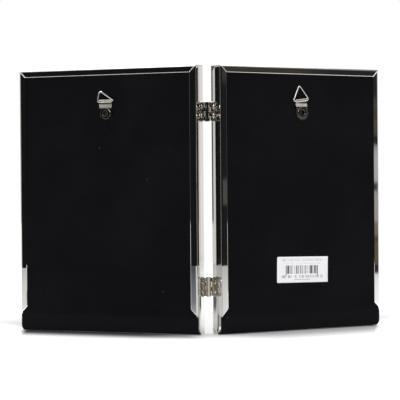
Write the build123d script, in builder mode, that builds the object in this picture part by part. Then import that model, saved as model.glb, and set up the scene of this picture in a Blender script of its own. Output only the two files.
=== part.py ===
from build123d import *
import os
from math import cos, radians, sin, sqrt

# Hinged double photo frame, in millimetres: two frames of folded metal with slide-in velvet backs, joined by
# two butt hinges. +Z is up, the pictures face +Y, and the frames mirror each other across the plane x = 0.
# Every piece is drawn for the right frame and mirrored for the left one.

os.makedirs("parts", exist_ok=True)

# Picture and frame
PHOTO_WIDTH = 127.0
PHOTO_HEIGHT = 177.8
PHOTO_MARGIN = 12.7  # from the photo's edge to the outside of the frame
SIGHT_OVERLAP = 2.8  # how far the front border covers the photo
SIGHT_DEPTH = 3.8  # from the glass to the front edge of the wall
FRONT_RISE = 2.0  # dome of the front border above the wall's front edge
SHEET = 0.6  # thickness of the folded metal
BACK_LIP = 5.4  # width of the lip that holds the back
BACK_BEND = 1.3  # outside radius between wall and back lip
FRONT_BEND = 0.7  # outside radius at both edges of the front border
MITRE_GAP = 0.06  # seam between two rails
LIP_EASE = 0.32  # width of the eased edge around the back lip, along its inner edge and both ends
LIP_EASE_DEPTH = 0.15
OPEN_ANGLE = 121.0  # between the two pictures as the object stands

# Pieces stacked inside a frame, from the back lip forwards
SLIDE_GAP = 0.15  # running gap on each face of the slide-in back
FIT_GAP = 0.3  # gap around the loose pieces
VELVET = 0.4
BOARD = 1.0
FILLER = 4.4
CARD = 0.3
GLASS = 2.0
GLASS_SEAM = 0.3  # chamfer around the glass

# Slide-in back
TAB_HEIGHT = 13.7  # height of the full-width tab at the bottom
TAB_BEND = 5.0  # outside radius of the tab's bent-over bottom
FLOOR_GAP = 0.3  # the tab stays clear of the table

# Hinges
UPPER_HINGE_DROP = 34.8  # from the frame's top to the upper hinge's middle
LOWER_HINGE_LIFT = 36.0  # from the frame's bottom to the lower hinge's middle
BARREL_RADIUS = 2.35
LEAF = 0.9  # thickness of a leaf
LEAF_HEIGHT = 14.0
LEAF_REACH = 9.0  # how far a leaf reaches back along the wall
KNUCKLES = 4  # knuckles of one hinge, shared by turns between the two leaves
KNUCKLE_GAP = 0.15
KNUCKLE_ROOM = 0.3  # between a leaf and the other leaf's knuckles
CURL_SEAM = 0.2  # slit where a knuckle's curl ends against its leaf
CLOSED_GAP = 0.3  # between the front borders when closed
PIN_GAP = 0.05
PIN_HEAD_RADIUS = 1.95
PIN_HEAD = 0.6
PIN_HEAD_ROUND = 0.45
SCREW_PITCH = 6.8
SCREW_RADIUS = 0.8
SCREW_HEAD_RADIUS = 1.55
SCREW_DOME = 0.35  # how far the oval head stands above the leaf
SCREW_SLOT = 0.4  # width and depth of the driver slot
SCREW_SLOT_TURN = 35.0  # degrees
SCREW_TAIL = 0.4  # screw end beyond the nut plate
SCREW_GAP = 0.04
NUT_PLATE = 1.6  # thickness of the tapped plate inside the wall
NUT_PLATE_WIDTH = 6.0

# Hangers
EYELET_DROP = 35.0  # from the frame's top to the eyelet
EYELET_RADIUS = 2.6
EYELET_WALL = 0.5
EYELET_GAP = 0.05
FLANGE_RADIUS = 4.2
FLANGE_RISE = 0.5
FLANGE_RIM = 0.4  # radius around the flange's inner and outer edge
CLINCH_RADIUS = 3.6  # inside flange of the eyelet, sunk in the board
CLINCH = 0.4
STRAP_WIDTH = 11.5
STRAP_SHEET = 0.6
STRAP_WAIST = 0.5  # how far the strap narrows below the loop
LOOP_RISE = 9.5  # from the eyelet up to the ring's pivot
LOOP_GAP = 0.08
WIRE_RADIUS = 0.6
RING_REACH = 11.8  # from the pivot to the point where the ring's sides would meet
RING_EAR = 1.9  # from the strap's side to the point where base and side would meet
RING_BEND = 0.9  # radius of the wire's centre at the two base corners
RING_TIP_BEND = 1.3  # the same at the tip
RING_SPLIT = 0.2  # gap between the wire's two ends, inside the loop
LEFT_RING_LIFT = 50.0  # degrees: the left ring stands out from the velvet
RIGHT_RING_LIFT = -2.0  # degrees: the right ring rests back against the velvet
LEFT_HANGER_TURN = 0.0  # degrees that a hanger is turned on its eyelet
RIGHT_HANGER_TURN = 7.0

# Sticker on the right back
STICKER_WIDTH = 49.0
STICKER_HEIGHT = 20.0
STICKER_LIFT = 47.0  # from the frame's bottom to the sticker's middle
STICKER_SHEET = 0.15
STICKER_CORNER = 0.5
STICKER_TILT = -0.9  # degrees

# Frame sizes that follow
FRAME_WIDTH = PHOTO_WIDTH + 2 * PHOTO_MARGIN
FRAME_HEIGHT = PHOTO_HEIGHT + 2 * PHOTO_MARGIN
BORDER = PHOTO_MARGIN + SIGHT_OVERLAP

# Depths of the faces, from the outside of the back lip forwards
VELVET_FACE = SHEET + SLIDE_GAP
BOARD_FACE = VELVET_FACE + VELVET
BOARD_INSIDE = BOARD_FACE + BOARD
FILLER_BACK = BOARD_INSIDE + SLIDE_GAP
CARD_BACK = FILLER_BACK + FILLER
GLASS_BACK = CARD_BACK + CARD
GLASS_FRONT = GLASS_BACK + GLASS
WALL_DEPTH = GLASS_FRONT + SIGHT_DEPTH
AXIS_DEPTH = WALL_DEPTH + FRONT_RISE + CLOSED_GAP / 2
TAB_END = VELVET_FACE + TAB_BEND
PAST = 5.0  # how far a cut runs past the metal

# Dome of the front border
DOME_RADIUS = (BORDER**2 / 4 + FRONT_RISE**2) / (2 * FRONT_RISE)
DOME_CENTRE = WALL_DEPTH + FRONT_RISE - DOME_RADIUS
DOME_INSIDE = DOME_CENTRE + sqrt((DOME_RADIUS - SHEET) ** 2 - (BORDER / 2 - SHEET) ** 2)

# Hinge sizes that follow
PIN_HOLE = BARREL_RADIUS - LEAF
NOTCH_DEPTH = AXIS_DEPTH - sqrt((BARREL_RADIUS + KNUCKLE_ROOM) ** 2 - PIN_HOLE**2)
LEAF_BACK = WALL_DEPTH - LEAF_REACH
SCREW_DEPTH = WALL_DEPTH - LEAF_REACH / 2
HINGE_HEIGHTS = {"upper": FRAME_HEIGHT - UPPER_HINGE_DROP, "lower": LOWER_HINGE_LIFT}
SPACER_EDGE = SHEET + NUT_PLATE + SCREW_TAIL + FIT_GAP

# Hanger sizes that follow
EYELET_HEIGHT = FRAME_HEIGHT - EYELET_DROP
LOOP_INSIDE = WIRE_RADIUS + LOOP_GAP
LOOP_OUTSIDE = LOOP_INSIDE + STRAP_SHEET
CLINCH_SEAT = CLINCH + EYELET_GAP

# The right frame's own directions, and its bottom back corner beside the hinges
TURN = radians(90 - OPEN_ANGLE / 2)
ALONG = Vector(cos(TURN), sin(TURN), 0)
BACK = Vector(sin(TURN), -cos(TURN), 0)
FORWARD = BACK * -1
UP = Vector(0, 0, 1)
REAR_MOST = (BARREL_RADIUS + BACK_BEND) * sin(TURN) - (AXIS_DEPTH - BACK_BEND) * cos(TURN) - BACK_BEND
FRONT_MOST = (BARREL_RADIUS + FRAME_WIDTH) * sin(TURN) - (AXIS_DEPTH - WALL_DEPTH) * cos(TURN)
AXIS_Y = -(REAR_MOST + FRONT_MOST) / 2
CORNER = Vector(0, AXIS_Y, 0) + ALONG * BARREL_RADIUS + BACK * AXIS_DEPTH


def layer(depth):
    """Plane parallel to the back: x runs along the frame, y up, and the normal points out of the back."""
    return Plane(origin=CORNER + FORWARD * depth, x_dir=ALONG, z_dir=BACK)


def level(height):
    """Level plane: x runs along the frame and y forwards."""
    return Plane(origin=CORNER + UP * height, x_dir=ALONG, z_dir=UP)


def side_view(along):
    """Upright plane across the frame: x runs forwards, y up, and the normal points along the frame."""
    return Plane(origin=CORNER + ALONG * along, x_dir=FORWARD, z_dir=ALONG)


def wall_face(out):
    """Plane of the hinge-side wall, moved out by a distance: x runs backwards and y up."""
    return Plane(origin=CORNER - ALONG * out, x_dir=BACK, z_dir=ALONG * -1)


def hanger_plane(turn):
    """Plane on the velvet at the eyelet, turned on it: x runs across the strap and y up to its loop."""
    middle = CORNER + ALONG * (FRAME_WIDTH / 2) + FORWARD * VELVET_FACE + UP * EYELET_HEIGHT
    across = ALONG * cos(radians(turn)) + UP * sin(radians(turn))
    return Plane(origin=middle, x_dir=across, z_dir=BACK)


def slab(plane, low, high, thickness):
    """Draws a rectangle between two corners and extrudes it along the plane's normal."""
    with BuildPart() as block:
        with BuildSketch(plane):
            with Locations(low):
                Rectangle(high[0] - low[0], high[1] - low[1], align=(Align.MIN, Align.MIN))
        extrude(amount=thickness)
    return block.part


def screw_points(hinge_height):
    """Places of one leaf's two screws on the wall face."""
    return [(-SCREW_DEPTH, hinge_height + turn * SCREW_PITCH / 2) for turn in (-1, 1)]


def rail(corner, inward, length, lipped):
    """Folds one rail of the frame: back lip, wall, domed front and sight edge, mitred at both ends."""
    wall_start = 0 if lipped else TAB_END + SLIDE_GAP
    with BuildPart() as moulding:
        with BuildSketch(Plane(origin=corner, x_dir=inward, z_dir=inward.cross(FORWARD))) as section:
            with BuildLine():
                Line((0, wall_start), (0, WALL_DEPTH))
                ThreePointArc((0, WALL_DEPTH), (BORDER / 2, WALL_DEPTH + FRONT_RISE), (BORDER, WALL_DEPTH))
                Polyline(
                    (BORDER, WALL_DEPTH),
                    (BORDER, GLASS_FRONT),
                    (BORDER - SHEET, GLASS_FRONT),
                    (BORDER - SHEET, DOME_INSIDE),
                )
                ThreePointArc(
                    (BORDER - SHEET, DOME_INSIDE),
                    (BORDER / 2, WALL_DEPTH + FRONT_RISE - SHEET),
                    (SHEET, DOME_INSIDE),
                )
                if lipped:
                    Polyline((SHEET, DOME_INSIDE), (SHEET, SHEET), (BACK_LIP, SHEET), (BACK_LIP, 0), (0, 0))
                else:
                    Polyline((SHEET, DOME_INSIDE), (SHEET, wall_start), (0, wall_start))
            make_face()
            for edge in (0, BORDER):
                fillet(section.vertices().sort_by_distance((edge, WALL_DEPTH))[0], FRONT_BEND)
            if lipped:
                fillet(section.vertices().sort_by_distance((0, 0))[0], BACK_BEND)
                fillet(section.vertices().sort_by_distance((SHEET, SHEET))[0], BACK_BEND - SHEET)
        extrude(amount=length)
        with BuildSketch(Plane(origin=corner, x_dir=inward, z_dir=BACK)):
            with BuildLine():
                Polyline(
                    (-PAST, MITRE_GAP - PAST),
                    (-PAST, length + PAST - MITRE_GAP),
                    (BORDER + PAST, length - BORDER - PAST - MITRE_GAP),
                    (BORDER + PAST, BORDER + PAST + MITRE_GAP),
                    close=True,
                )
            make_face()
        extrude(amount=WALL_DEPTH + FRONT_RISE + PAST, both=True, mode=Mode.INTERSECT)
    return moulding.part


def soften_lip(moulding, corner, inward):
    """Eases a rail's back lip along its inner edge and both ends, and leaves the bend."""
    with BuildPart() as softened:
        add(moulding)
        lip_face = softened.faces().sort_by(Axis(corner, BACK))[-1]
        lip_edges = lip_face.edges().sort_by(Axis(corner, inward))[1:]
        chamfer(lip_edges, LIP_EASE, LIP_EASE_DEPTH, reference=lip_face)
    return softened.part


def tab_notch():
    """Cutter that leaves room for the back's tab in a side rail, with the lip's end cut at 45 degrees."""
    inside_bend = TAB_BEND - VELVET - BOARD - SLIDE_GAP
    bend_height = FLOOR_GAP + TAB_BEND
    corner_height = bend_height - inside_bend
    notch_back = BOARD_INSIDE + SLIDE_GAP
    with BuildPart() as notch:
        with BuildSketch(side_view(-PAST)):
            with BuildLine():
                Polyline((-PAST, TAB_HEIGHT), (notch_back, TAB_HEIGHT), (notch_back, bend_height))
                TangentArc((notch_back, bend_height), (TAB_END, corner_height), tangent=(0, -1))
                Polyline(
                    (TAB_END, corner_height),
                    (TAB_END + SLIDE_GAP, corner_height),
                    (TAB_END + SLIDE_GAP, -PAST),
                    (-PAST, -PAST),
                    (-PAST, TAB_HEIGHT),
                )
            make_face()
        extrude(amount=FRAME_WIDTH + 2 * PAST)
        with BuildSketch(layer(SHEET + SLIDE_GAP)):
            with BuildLine():
                Polyline(
                    (0, TAB_HEIGHT),
                    (BACK_LIP + PAST, TAB_HEIGHT + BACK_LIP + PAST),
                    (FRAME_WIDTH - BACK_LIP - PAST, TAB_HEIGHT + BACK_LIP + PAST),
                    (FRAME_WIDTH, TAB_HEIGHT),
                    close=True,
                )
            make_face()
        extrude(amount=SHEET + PAST)
    return notch.part


def frame_rails():
    """The four rails of the right frame, by name."""
    foot_out = CORNER + ALONG * FRAME_WIDTH
    top_in = CORNER + UP * FRAME_HEIGHT
    top_out = top_in + ALONG * FRAME_WIDTH
    notch = tab_notch()
    with BuildPart() as hinge_rail:
        add(rail(CORNER, ALONG, FRAME_HEIGHT, lipped=True))
        add(notch, mode=Mode.SUBTRACT)
        with BuildSketch(wall_face(PAST)):
            with Locations(*[spot for height in HINGE_HEIGHTS.values() for spot in screw_points(height)]):
                Circle(SCREW_RADIUS + SCREW_GAP)
        extrude(amount=-(2 * PAST), mode=Mode.SUBTRACT)
    with BuildPart() as outer_rail:
        add(rail(top_out, ALONG * -1, FRAME_HEIGHT, lipped=True))
        add(notch, mode=Mode.SUBTRACT)
    return {
        "hinge_rail": soften_lip(hinge_rail.part, CORNER, ALONG),
        "outer_rail": soften_lip(outer_rail.part, top_out, ALONG * -1),
        "top_rail": soften_lip(rail(top_in, UP * -1, FRAME_WIDTH, lipped=True), top_in, UP * -1),
        "bottom_rail": rail(foot_out, UP, FRAME_WIDTH, lipped=False),
    }


def picture_stack():
    """Glass, photo card, filler board and the spacer frame around them."""
    low = (PHOTO_MARGIN, PHOTO_MARGIN)
    high = (FRAME_WIDTH - PHOTO_MARGIN, FRAME_HEIGHT - PHOTO_MARGIN)
    with BuildPart() as glass:
        add(slab(layer(GLASS_FRONT), low, high, GLASS))
        chamfer(glass.edges(), GLASS_SEAM)
    with BuildPart() as spacer_frame:
        bottom = FLOOR_GAP + TAB_BEND + FIT_GAP
        top_corner = (FRAME_WIDTH - SPACER_EDGE, FRAME_HEIGHT - SPACER_EDGE)
        add(slab(layer(GLASS_FRONT), (SPACER_EDGE, bottom), top_corner, GLASS_FRONT - FILLER_BACK))
        with BuildSketch(layer(GLASS_FRONT)):
            with Locations((FRAME_WIDTH / 2, FRAME_HEIGHT / 2)):
                Rectangle(PHOTO_WIDTH + 2 * FIT_GAP, PHOTO_HEIGHT + 2 * FIT_GAP)
        extrude(amount=GLASS_FRONT - FILLER_BACK, mode=Mode.SUBTRACT)
    return {
        "glass": glass.part,
        "photo_card": slab(layer(GLASS_BACK), low, high, CARD),
        "filler_board": slab(layer(CARD_BACK), low, high, FILLER),
        "spacer_frame": spacer_frame.part,
    }


def back_sheet(outside, thickness, eyelet_seat):
    """One layer of the slide-in back, bent over at the bottom, from its outside depth forwards."""
    outer_bend = TAB_END - outside
    inner_bend = outer_bend - thickness
    bend_height = FLOOR_GAP + TAB_BEND
    top = FRAME_HEIGHT - SHEET - FIT_GAP
    inside = outside + thickness
    with BuildPart() as sheet:
        with BuildSketch(side_view(0)):
            with BuildLine():
                Line((outside, top), (outside, bend_height))
                TangentArc((outside, bend_height), (TAB_END, bend_height - outer_bend), tangent=(0, -1))
                Line((TAB_END, bend_height - outer_bend), (TAB_END, bend_height - inner_bend))
                TangentArc((TAB_END, bend_height - inner_bend), (inside, bend_height), tangent=(-1, 0))
                Polyline((inside, bend_height), (inside, top), (outside, top))
            make_face()
        extrude(amount=FRAME_WIDTH)
        with BuildSketch(layer(TAB_END)):
            for edge, side in ((0, Align.MIN), (FRAME_WIDTH, Align.MAX)):
                with Locations((edge, TAB_HEIGHT - FIT_GAP)):
                    Rectangle(SHEET + FIT_GAP, FRAME_HEIGHT, align=(side, Align.MIN))
        extrude(amount=TAB_END, mode=Mode.SUBTRACT)
        with BuildSketch(layer(inside)):
            with Locations((FRAME_WIDTH / 2, EYELET_HEIGHT)):
                Circle(EYELET_RADIUS + EYELET_GAP)
        extrude(amount=thickness, mode=Mode.SUBTRACT)
        if eyelet_seat:
            with BuildSketch(layer(inside)):
                with Locations((FRAME_WIDTH / 2, EYELET_HEIGHT)):
                    Circle(CLINCH_RADIUS + FIT_GAP)
            extrude(amount=CLINCH_SEAT, mode=Mode.SUBTRACT)
    return sheet.part


def hanger_strap(turn):
    """Strip folded around the ring's wire, with both ends under the eyelet."""
    half = STRAP_WIDTH / 2
    waist_top = LOOP_RISE - LOOP_OUTSIDE
    loop_top = LOOP_RISE + LOOP_OUTSIDE
    face = hanger_plane(turn)
    with BuildPart() as strap:
        with BuildSketch(Plane(origin=face.origin, x_dir=BACK, z_dir=face.x_dir * -1)):
            with Locations((0, -half)):
                Rectangle(STRAP_SHEET, half + LOOP_RISE, align=(Align.MIN, Align.MIN))
                Rectangle(2 * STRAP_SHEET, half + LOOP_RISE - LOOP_INSIDE, align=(Align.MIN, Align.MIN))
            with Locations((LOOP_OUTSIDE, LOOP_RISE)):
                Circle(LOOP_OUTSIDE)
                Circle(LOOP_INSIDE, mode=Mode.SUBTRACT)
        extrude(amount=STRAP_WIDTH, both=True)
        with BuildSketch(face):
            with BuildLine():
                ThreePointArc((-half, waist_top), (STRAP_WAIST - half, waist_top / 2), (-half, 0))
                ThreePointArc((-half, 0), (0, -half), (half, 0))
                ThreePointArc((half, 0), (half - STRAP_WAIST, waist_top / 2), (half, waist_top))
                Polyline((half, waist_top), (half, loop_top), (-half, loop_top), (-half, waist_top))
            make_face()
        extrude(amount=2 * LOOP_OUTSIDE, mode=Mode.INTERSECT)
        with BuildSketch(face):
            Circle(EYELET_RADIUS + EYELET_GAP)
        extrude(amount=2 * STRAP_SHEET, mode=Mode.SUBTRACT)
    return strap.part


def hanger_eyelet():
    """Hollow rivet: flat flange with round rims over the strap, clinched inside the board."""
    bore = EYELET_RADIUS - EYELET_WALL
    seat = 2 * STRAP_SHEET
    flange_top = seat + FLANGE_RISE
    rim_seat = flange_top - FLANGE_RIM
    clinch_face = CLINCH_SEAT - VELVET - BOARD
    middle = hanger_plane(0).origin
    with BuildPart() as eyelet:
        with BuildSketch(Plane(origin=middle, x_dir=ALONG, z_dir=UP * -1)):
            with BuildLine():
                RadiusArc((bore, rim_seat), (bore + FLANGE_RIM, flange_top), FLANGE_RIM)
                Line((bore + FLANGE_RIM, flange_top), (FLANGE_RADIUS - FLANGE_RIM, flange_top))
                RadiusArc((FLANGE_RADIUS - FLANGE_RIM, flange_top), (FLANGE_RADIUS, rim_seat), FLANGE_RIM)
                Polyline(
                    (FLANGE_RADIUS, rim_seat),
                    (FLANGE_RADIUS, seat),
                    (EYELET_RADIUS, seat),
                    (EYELET_RADIUS, clinch_face),
                    (CLINCH_RADIUS, clinch_face),
                    (CLINCH_RADIUS, clinch_face - CLINCH),
                    (bore, clinch_face - CLINCH),
                    (bore, rim_seat),
                )
            make_face()
        revolve(axis=Axis(middle, BACK))
    return eyelet.part


def hanger_ring(turn, lift):
    """Triangle of round wire, turned with its strap and then out from the velvet, both in degrees."""
    face = hanger_plane(turn)
    pivot = face.from_local_coords((0, LOOP_RISE, LOOP_OUTSIDE))
    half = STRAP_WIDTH / 2 + RING_EAR
    normal = BACK * cos(radians(lift)) - face.y_dir * sin(radians(lift))
    with BuildPart() as ring:
        with BuildLine(Plane(origin=pivot, x_dir=face.x_dir, z_dir=normal)) as wire:
            FilletPolyline(
                (RING_SPLIT / 2, 0),
                (half, 0),
                (0, RING_REACH),
                (-half, 0),
                (-RING_SPLIT / 2, 0),
                radius=(RING_BEND, RING_TIP_BEND, RING_BEND),
            )
        with BuildSketch(Plane(origin=wire.line @ 0, z_dir=wire.line % 0)):
            Circle(WIRE_RADIUS)
        sweep(path=wire.line)
    return ring.part


def sticker():
    """Printed paper sticker on the velvet."""
    with BuildPart() as paper:
        with BuildSketch(layer(VELVET_FACE)):
            with Locations((FRAME_WIDTH / 2, STICKER_LIFT)):
                RectangleRounded(STICKER_WIDTH, STICKER_HEIGHT, STICKER_CORNER, rotation=STICKER_TILT)
        extrude(amount=STICKER_SHEET)
    return paper.part


def hinge_leaf(hinge_height, first_knuckle):
    """Leaf on the hinge-side wall, with every second knuckle counted from the top."""
    pitch = LEAF_HEIGHT / KNUCKLES
    top = hinge_height + LEAF_HEIGHT / 2
    with BuildPart() as leaf:
        with BuildSketch(level(hinge_height - LEAF_HEIGHT / 2)):
            with Locations((0, LEAF_BACK)):
                Rectangle(LEAF, NOTCH_DEPTH - LEAF_BACK, align=(Align.MAX, Align.MIN))
        extrude(amount=LEAF_HEIGHT)
        for knuckle in range(first_knuckle, KNUCKLES, 2):
            with BuildSketch(level(top - (knuckle + 1) * pitch + KNUCKLE_GAP / 2)):
                with Locations((-BARREL_RADIUS, AXIS_DEPTH)):
                    Circle(BARREL_RADIUS)
                with Locations((0, LEAF_BACK)):
                    Rectangle(LEAF, AXIS_DEPTH - LEAF_BACK, align=(Align.MAX, Align.MIN))
                with Locations((-BARREL_RADIUS, AXIS_DEPTH)):
                    Circle(PIN_HOLE, mode=Mode.SUBTRACT)
                with Locations((-LEAF, AXIS_DEPTH)):
                    Rectangle(CURL_SEAM, BARREL_RADIUS, align=(Align.MAX, Align.MAX), mode=Mode.SUBTRACT)
            extrude(amount=pitch - KNUCKLE_GAP)
        with Locations(wall_face(LEAF)):
            with Locations(*screw_points(hinge_height)):
                CounterSinkHole(
                    SCREW_RADIUS + SCREW_GAP,
                    SCREW_HEAD_RADIUS + SCREW_GAP,
                    depth=2 * LEAF,
                    counter_sink_angle=90,
                )
    return leaf.part


def leaf_screws(hinge_height):
    """Two slotted oval-head screws through leaf and wall into the nut plate."""
    end = SHEET + NUT_PLATE + SCREW_TAIL
    with BuildPart() as screws:
        for backwards, height in screw_points(hinge_height):
            middle = CORNER + BACK * backwards + UP * height
            with BuildSketch(Plane(origin=middle, x_dir=ALONG, z_dir=UP)):
                with BuildLine():
                    Line((-LEAF - SCREW_DOME, 0), (end, 0))
                    Polyline(
                        (end, 0),
                        (end, SCREW_RADIUS),
                        (SCREW_HEAD_RADIUS - SCREW_RADIUS - LEAF, SCREW_RADIUS),
                        (-LEAF, SCREW_HEAD_RADIUS),
                    )
                    TangentArc((-LEAF - SCREW_DOME, 0), (-LEAF, SCREW_HEAD_RADIUS), tangent=(0, 1))
                make_face()
            revolve(axis=Axis(middle, ALONG))
        with BuildSketch(wall_face(LEAF + SCREW_DOME)):
            with Locations(*screw_points(hinge_height)):
                Rectangle(2 * SCREW_HEAD_RADIUS, SCREW_SLOT, rotation=SCREW_SLOT_TURN)
        extrude(amount=-SCREW_SLOT, mode=Mode.SUBTRACT)
    return screws.part


def nut_plate(hinge_height):
    """Tapped plate inside the wall that takes one leaf's screws."""
    with BuildPart() as plate:
        with BuildSketch(wall_face(-SHEET - NUT_PLATE)):
            with Locations((-SCREW_DEPTH, hinge_height)):
                Rectangle(NUT_PLATE_WIDTH, LEAF_HEIGHT)
            with Locations(*screw_points(hinge_height)):
                Circle(SCREW_RADIUS + SCREW_GAP, mode=Mode.SUBTRACT)
        extrude(amount=NUT_PLATE)
    return plate.part


def hinge_pin(hinge_height):
    """Pin through the four knuckles, headed at both ends."""
    half = LEAF_HEIGHT / 2 + KNUCKLE_GAP / 2
    axis_foot = Vector(0, AXIS_Y, hinge_height)
    with BuildPart() as pin:
        with BuildSketch(Plane(origin=axis_foot - UP * half, z_dir=UP)):
            Circle(PIN_HOLE - PIN_GAP)
        extrude(amount=2 * half)
        for end in (UP, UP * -1):
            with BuildSketch(Plane(origin=axis_foot + end * half, z_dir=end)):
                Circle(PIN_HEAD_RADIUS)
            extrude(amount=PIN_HEAD)
        fillet(pin.edges().group_by(Axis.Z)[-1] + pin.edges().group_by(Axis.Z)[0], PIN_HEAD_ROUND)
    return pin.part


def keep(name, solid):
    """Labels a finished piece and writes it."""
    solid.label = name
    export_step(solid, f"parts/{name}.step")


# Frames and backs, drawn on the right and mirrored to the left
pairs = {
    **frame_rails(),
    **picture_stack(),
    "back_board": back_sheet(BOARD_FACE, BOARD, eyelet_seat=True),
    "velvet": back_sheet(VELVET_FACE, VELVET, eyelet_seat=False),
    "hanger_eyelet": hanger_eyelet(),
}
for name, solid in pairs.items():
    keep(f"right_{name}", solid)
    keep(f"left_{name}", mirror(solid, about=Plane.YZ))

# Straps, rings and sticker, which differ between the sides
keep("right_hanger_strap", hanger_strap(RIGHT_HANGER_TURN))
keep("right_hanger_ring", hanger_ring(RIGHT_HANGER_TURN, RIGHT_RING_LIFT))
keep("left_hanger_strap", mirror(hanger_strap(LEFT_HANGER_TURN), about=Plane.YZ))
keep("left_hanger_ring", mirror(hanger_ring(LEFT_HANGER_TURN, LEFT_RING_LIFT), about=Plane.YZ))
keep("right_sticker", sticker())

# Hinges: the topmost knuckle belongs to the right leaf
for place, height in HINGE_HEIGHTS.items():
    keep(f"{place}_hinge_right_leaf", hinge_leaf(height, first_knuckle=0))
    keep(f"{place}_hinge_left_leaf", mirror(hinge_leaf(height, first_knuckle=1), about=Plane.YZ))
    keep(f"{place}_hinge_right_screws", leaf_screws(height))
    keep(f"{place}_hinge_left_screws", mirror(leaf_screws(height), about=Plane.YZ))
    keep(f"{place}_hinge_right_nut_plate", nut_plate(height))
    keep(f"{place}_hinge_left_nut_plate", mirror(nut_plate(height), about=Plane.YZ))
    keep(f"{place}_hinge_pin", hinge_pin(height))
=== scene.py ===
"""Dresses the hinged double photo frame: finishes, flocked backs, price label, studio and viewpoint."""

import logging
import math
from dataclasses import dataclass, field
from enum import Enum
from typing import Any, Dict, List, Optional, Sequence, Tuple, Union

import bmesh
import bpy
from mathutils import Matrix, Vector, noise


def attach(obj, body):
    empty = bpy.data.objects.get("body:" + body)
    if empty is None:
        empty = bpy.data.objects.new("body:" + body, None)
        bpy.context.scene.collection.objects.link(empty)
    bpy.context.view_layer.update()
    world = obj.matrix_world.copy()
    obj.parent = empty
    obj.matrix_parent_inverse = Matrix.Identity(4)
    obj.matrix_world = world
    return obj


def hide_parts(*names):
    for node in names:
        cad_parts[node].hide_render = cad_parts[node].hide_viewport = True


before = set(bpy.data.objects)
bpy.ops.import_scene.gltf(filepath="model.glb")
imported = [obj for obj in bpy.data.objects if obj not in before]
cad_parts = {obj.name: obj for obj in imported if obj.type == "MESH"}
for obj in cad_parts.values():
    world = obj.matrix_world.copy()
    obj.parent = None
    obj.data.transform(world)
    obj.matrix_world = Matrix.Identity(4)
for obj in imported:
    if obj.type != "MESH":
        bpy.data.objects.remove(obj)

LOG = logging.getLogger("photo_frame")
MM = 0.001
DEGREES = 180.0 / math.pi
HINGE_AXIS = -0.031474  # the pins' place along Y, in metres
KNUCKLE_RADIUS = 0.0026

Colour = Tuple[float, float, float]
Span = Tuple[float, float]
Stop = Tuple[float, Colour]
Point = Tuple[float, float, float]
FRONT: Colour = (0.10, 0.10, 0.105)  # the dark part of the studio ahead of the pictures


class Side(Enum):
    """The two frames, named as the viewer of the backs sees them."""

    LEFT = "left"
    RIGHT = "right"

    @property
    def sign(self) -> float:
        """The side's direction along X."""
        return -1.0 if self is Side.LEFT else 1.0


class Place(Enum):
    """The two hinges."""

    UPPER = "upper"
    LOWER = "lower"


class Tone:
    """A number socket of a node graph: Python arithmetic on it adds Math nodes."""

    def __init__(self, graph: "Graph", socket: bpy.types.NodeSocket) -> None:
        """Keeps the graph and the socket."""
        self.graph = graph
        self.socket = socket

    def _join(self, operation: str, *values: "Value") -> "Tone":
        """Adds one Math node.

        Args:
            operation: the Math node's operation.
            values: its inputs in order.

        Returns:
            The node's result.
        """
        node = self.graph.node("ShaderNodeMath", {"operation": operation}, dict(enumerate(values)))
        return Tone(self.graph, node.outputs[0])

    def __add__(self, other: "Value") -> "Tone":
        """This plus other."""
        return self._join("ADD", self, other)

    __radd__ = __add__

    def __sub__(self, other: "Value") -> "Tone":
        """This less other."""
        return self._join("SUBTRACT", self, other)

    def __rsub__(self, other: "Value") -> "Tone":
        """Other less this."""
        return self._join("SUBTRACT", other, self)

    def __mul__(self, other: "Value") -> "Tone":
        """This times other."""
        return self._join("MULTIPLY", self, other)

    def __truediv__(self, other: "Value") -> "Tone":
        """This over other."""
        return self._join("DIVIDE", self, other)

    def __gt__(self, other: "Value") -> "Tone":
        """One where this is above other."""
        return self._join("GREATER_THAN", self, other)

    def __lt__(self, other: "Value") -> "Tone":
        """One where this is below other."""
        return self._join("LESS_THAN", self, other)

    def __abs__(self) -> "Tone":
        """This without its sign."""
        return self._join("ABSOLUTE", self)

    def at_least(self, other: "Value") -> "Tone":
        """The larger of the two."""
        return self._join("MAXIMUM", self, other)

    def at_most(self, other: "Value") -> "Tone":
        """The smaller of the two."""
        return self._join("MINIMUM", self, other)

    def floor(self) -> "Tone":
        """The whole number below this."""
        return self._join("FLOOR", self)

    def bearing(self, across: "Value") -> "Tone":
        """The angle whose tangent is this over across, in degrees."""
        return self._join("ARCTAN2", self, across) * DEGREES

    def rise(self, low: float, high: float) -> "Tone":
        """A smooth step.

        Args:
            low: where the step is 0.
            high: where it is 1; below low, the step falls.

        Returns:
            The step, from 0 to 1.
        """
        settings = {"interpolation_type": "SMOOTHSTEP"}
        start, end = (0.0, 1.0) if high > low else (1.0, 0.0)
        values = {"Value": self, "From Min": min(low, high), "From Max": max(low, high),
                  "To Min": start, "To Max": end}
        return Tone(self.graph, self.graph.node("ShaderNodeMapRange", settings, values).outputs[0])

    def within(self, low: float, high: float, soft: float) -> "Tone":
        """One between low and high, with soft edges."""
        return self.rise(low - soft, low + soft) * self.rise(high + soft, high - soft)


Value = Union[Tone, float, int]
Input = Union[Tone, bpy.types.NodeSocket, float, int, Sequence[float]]


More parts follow.
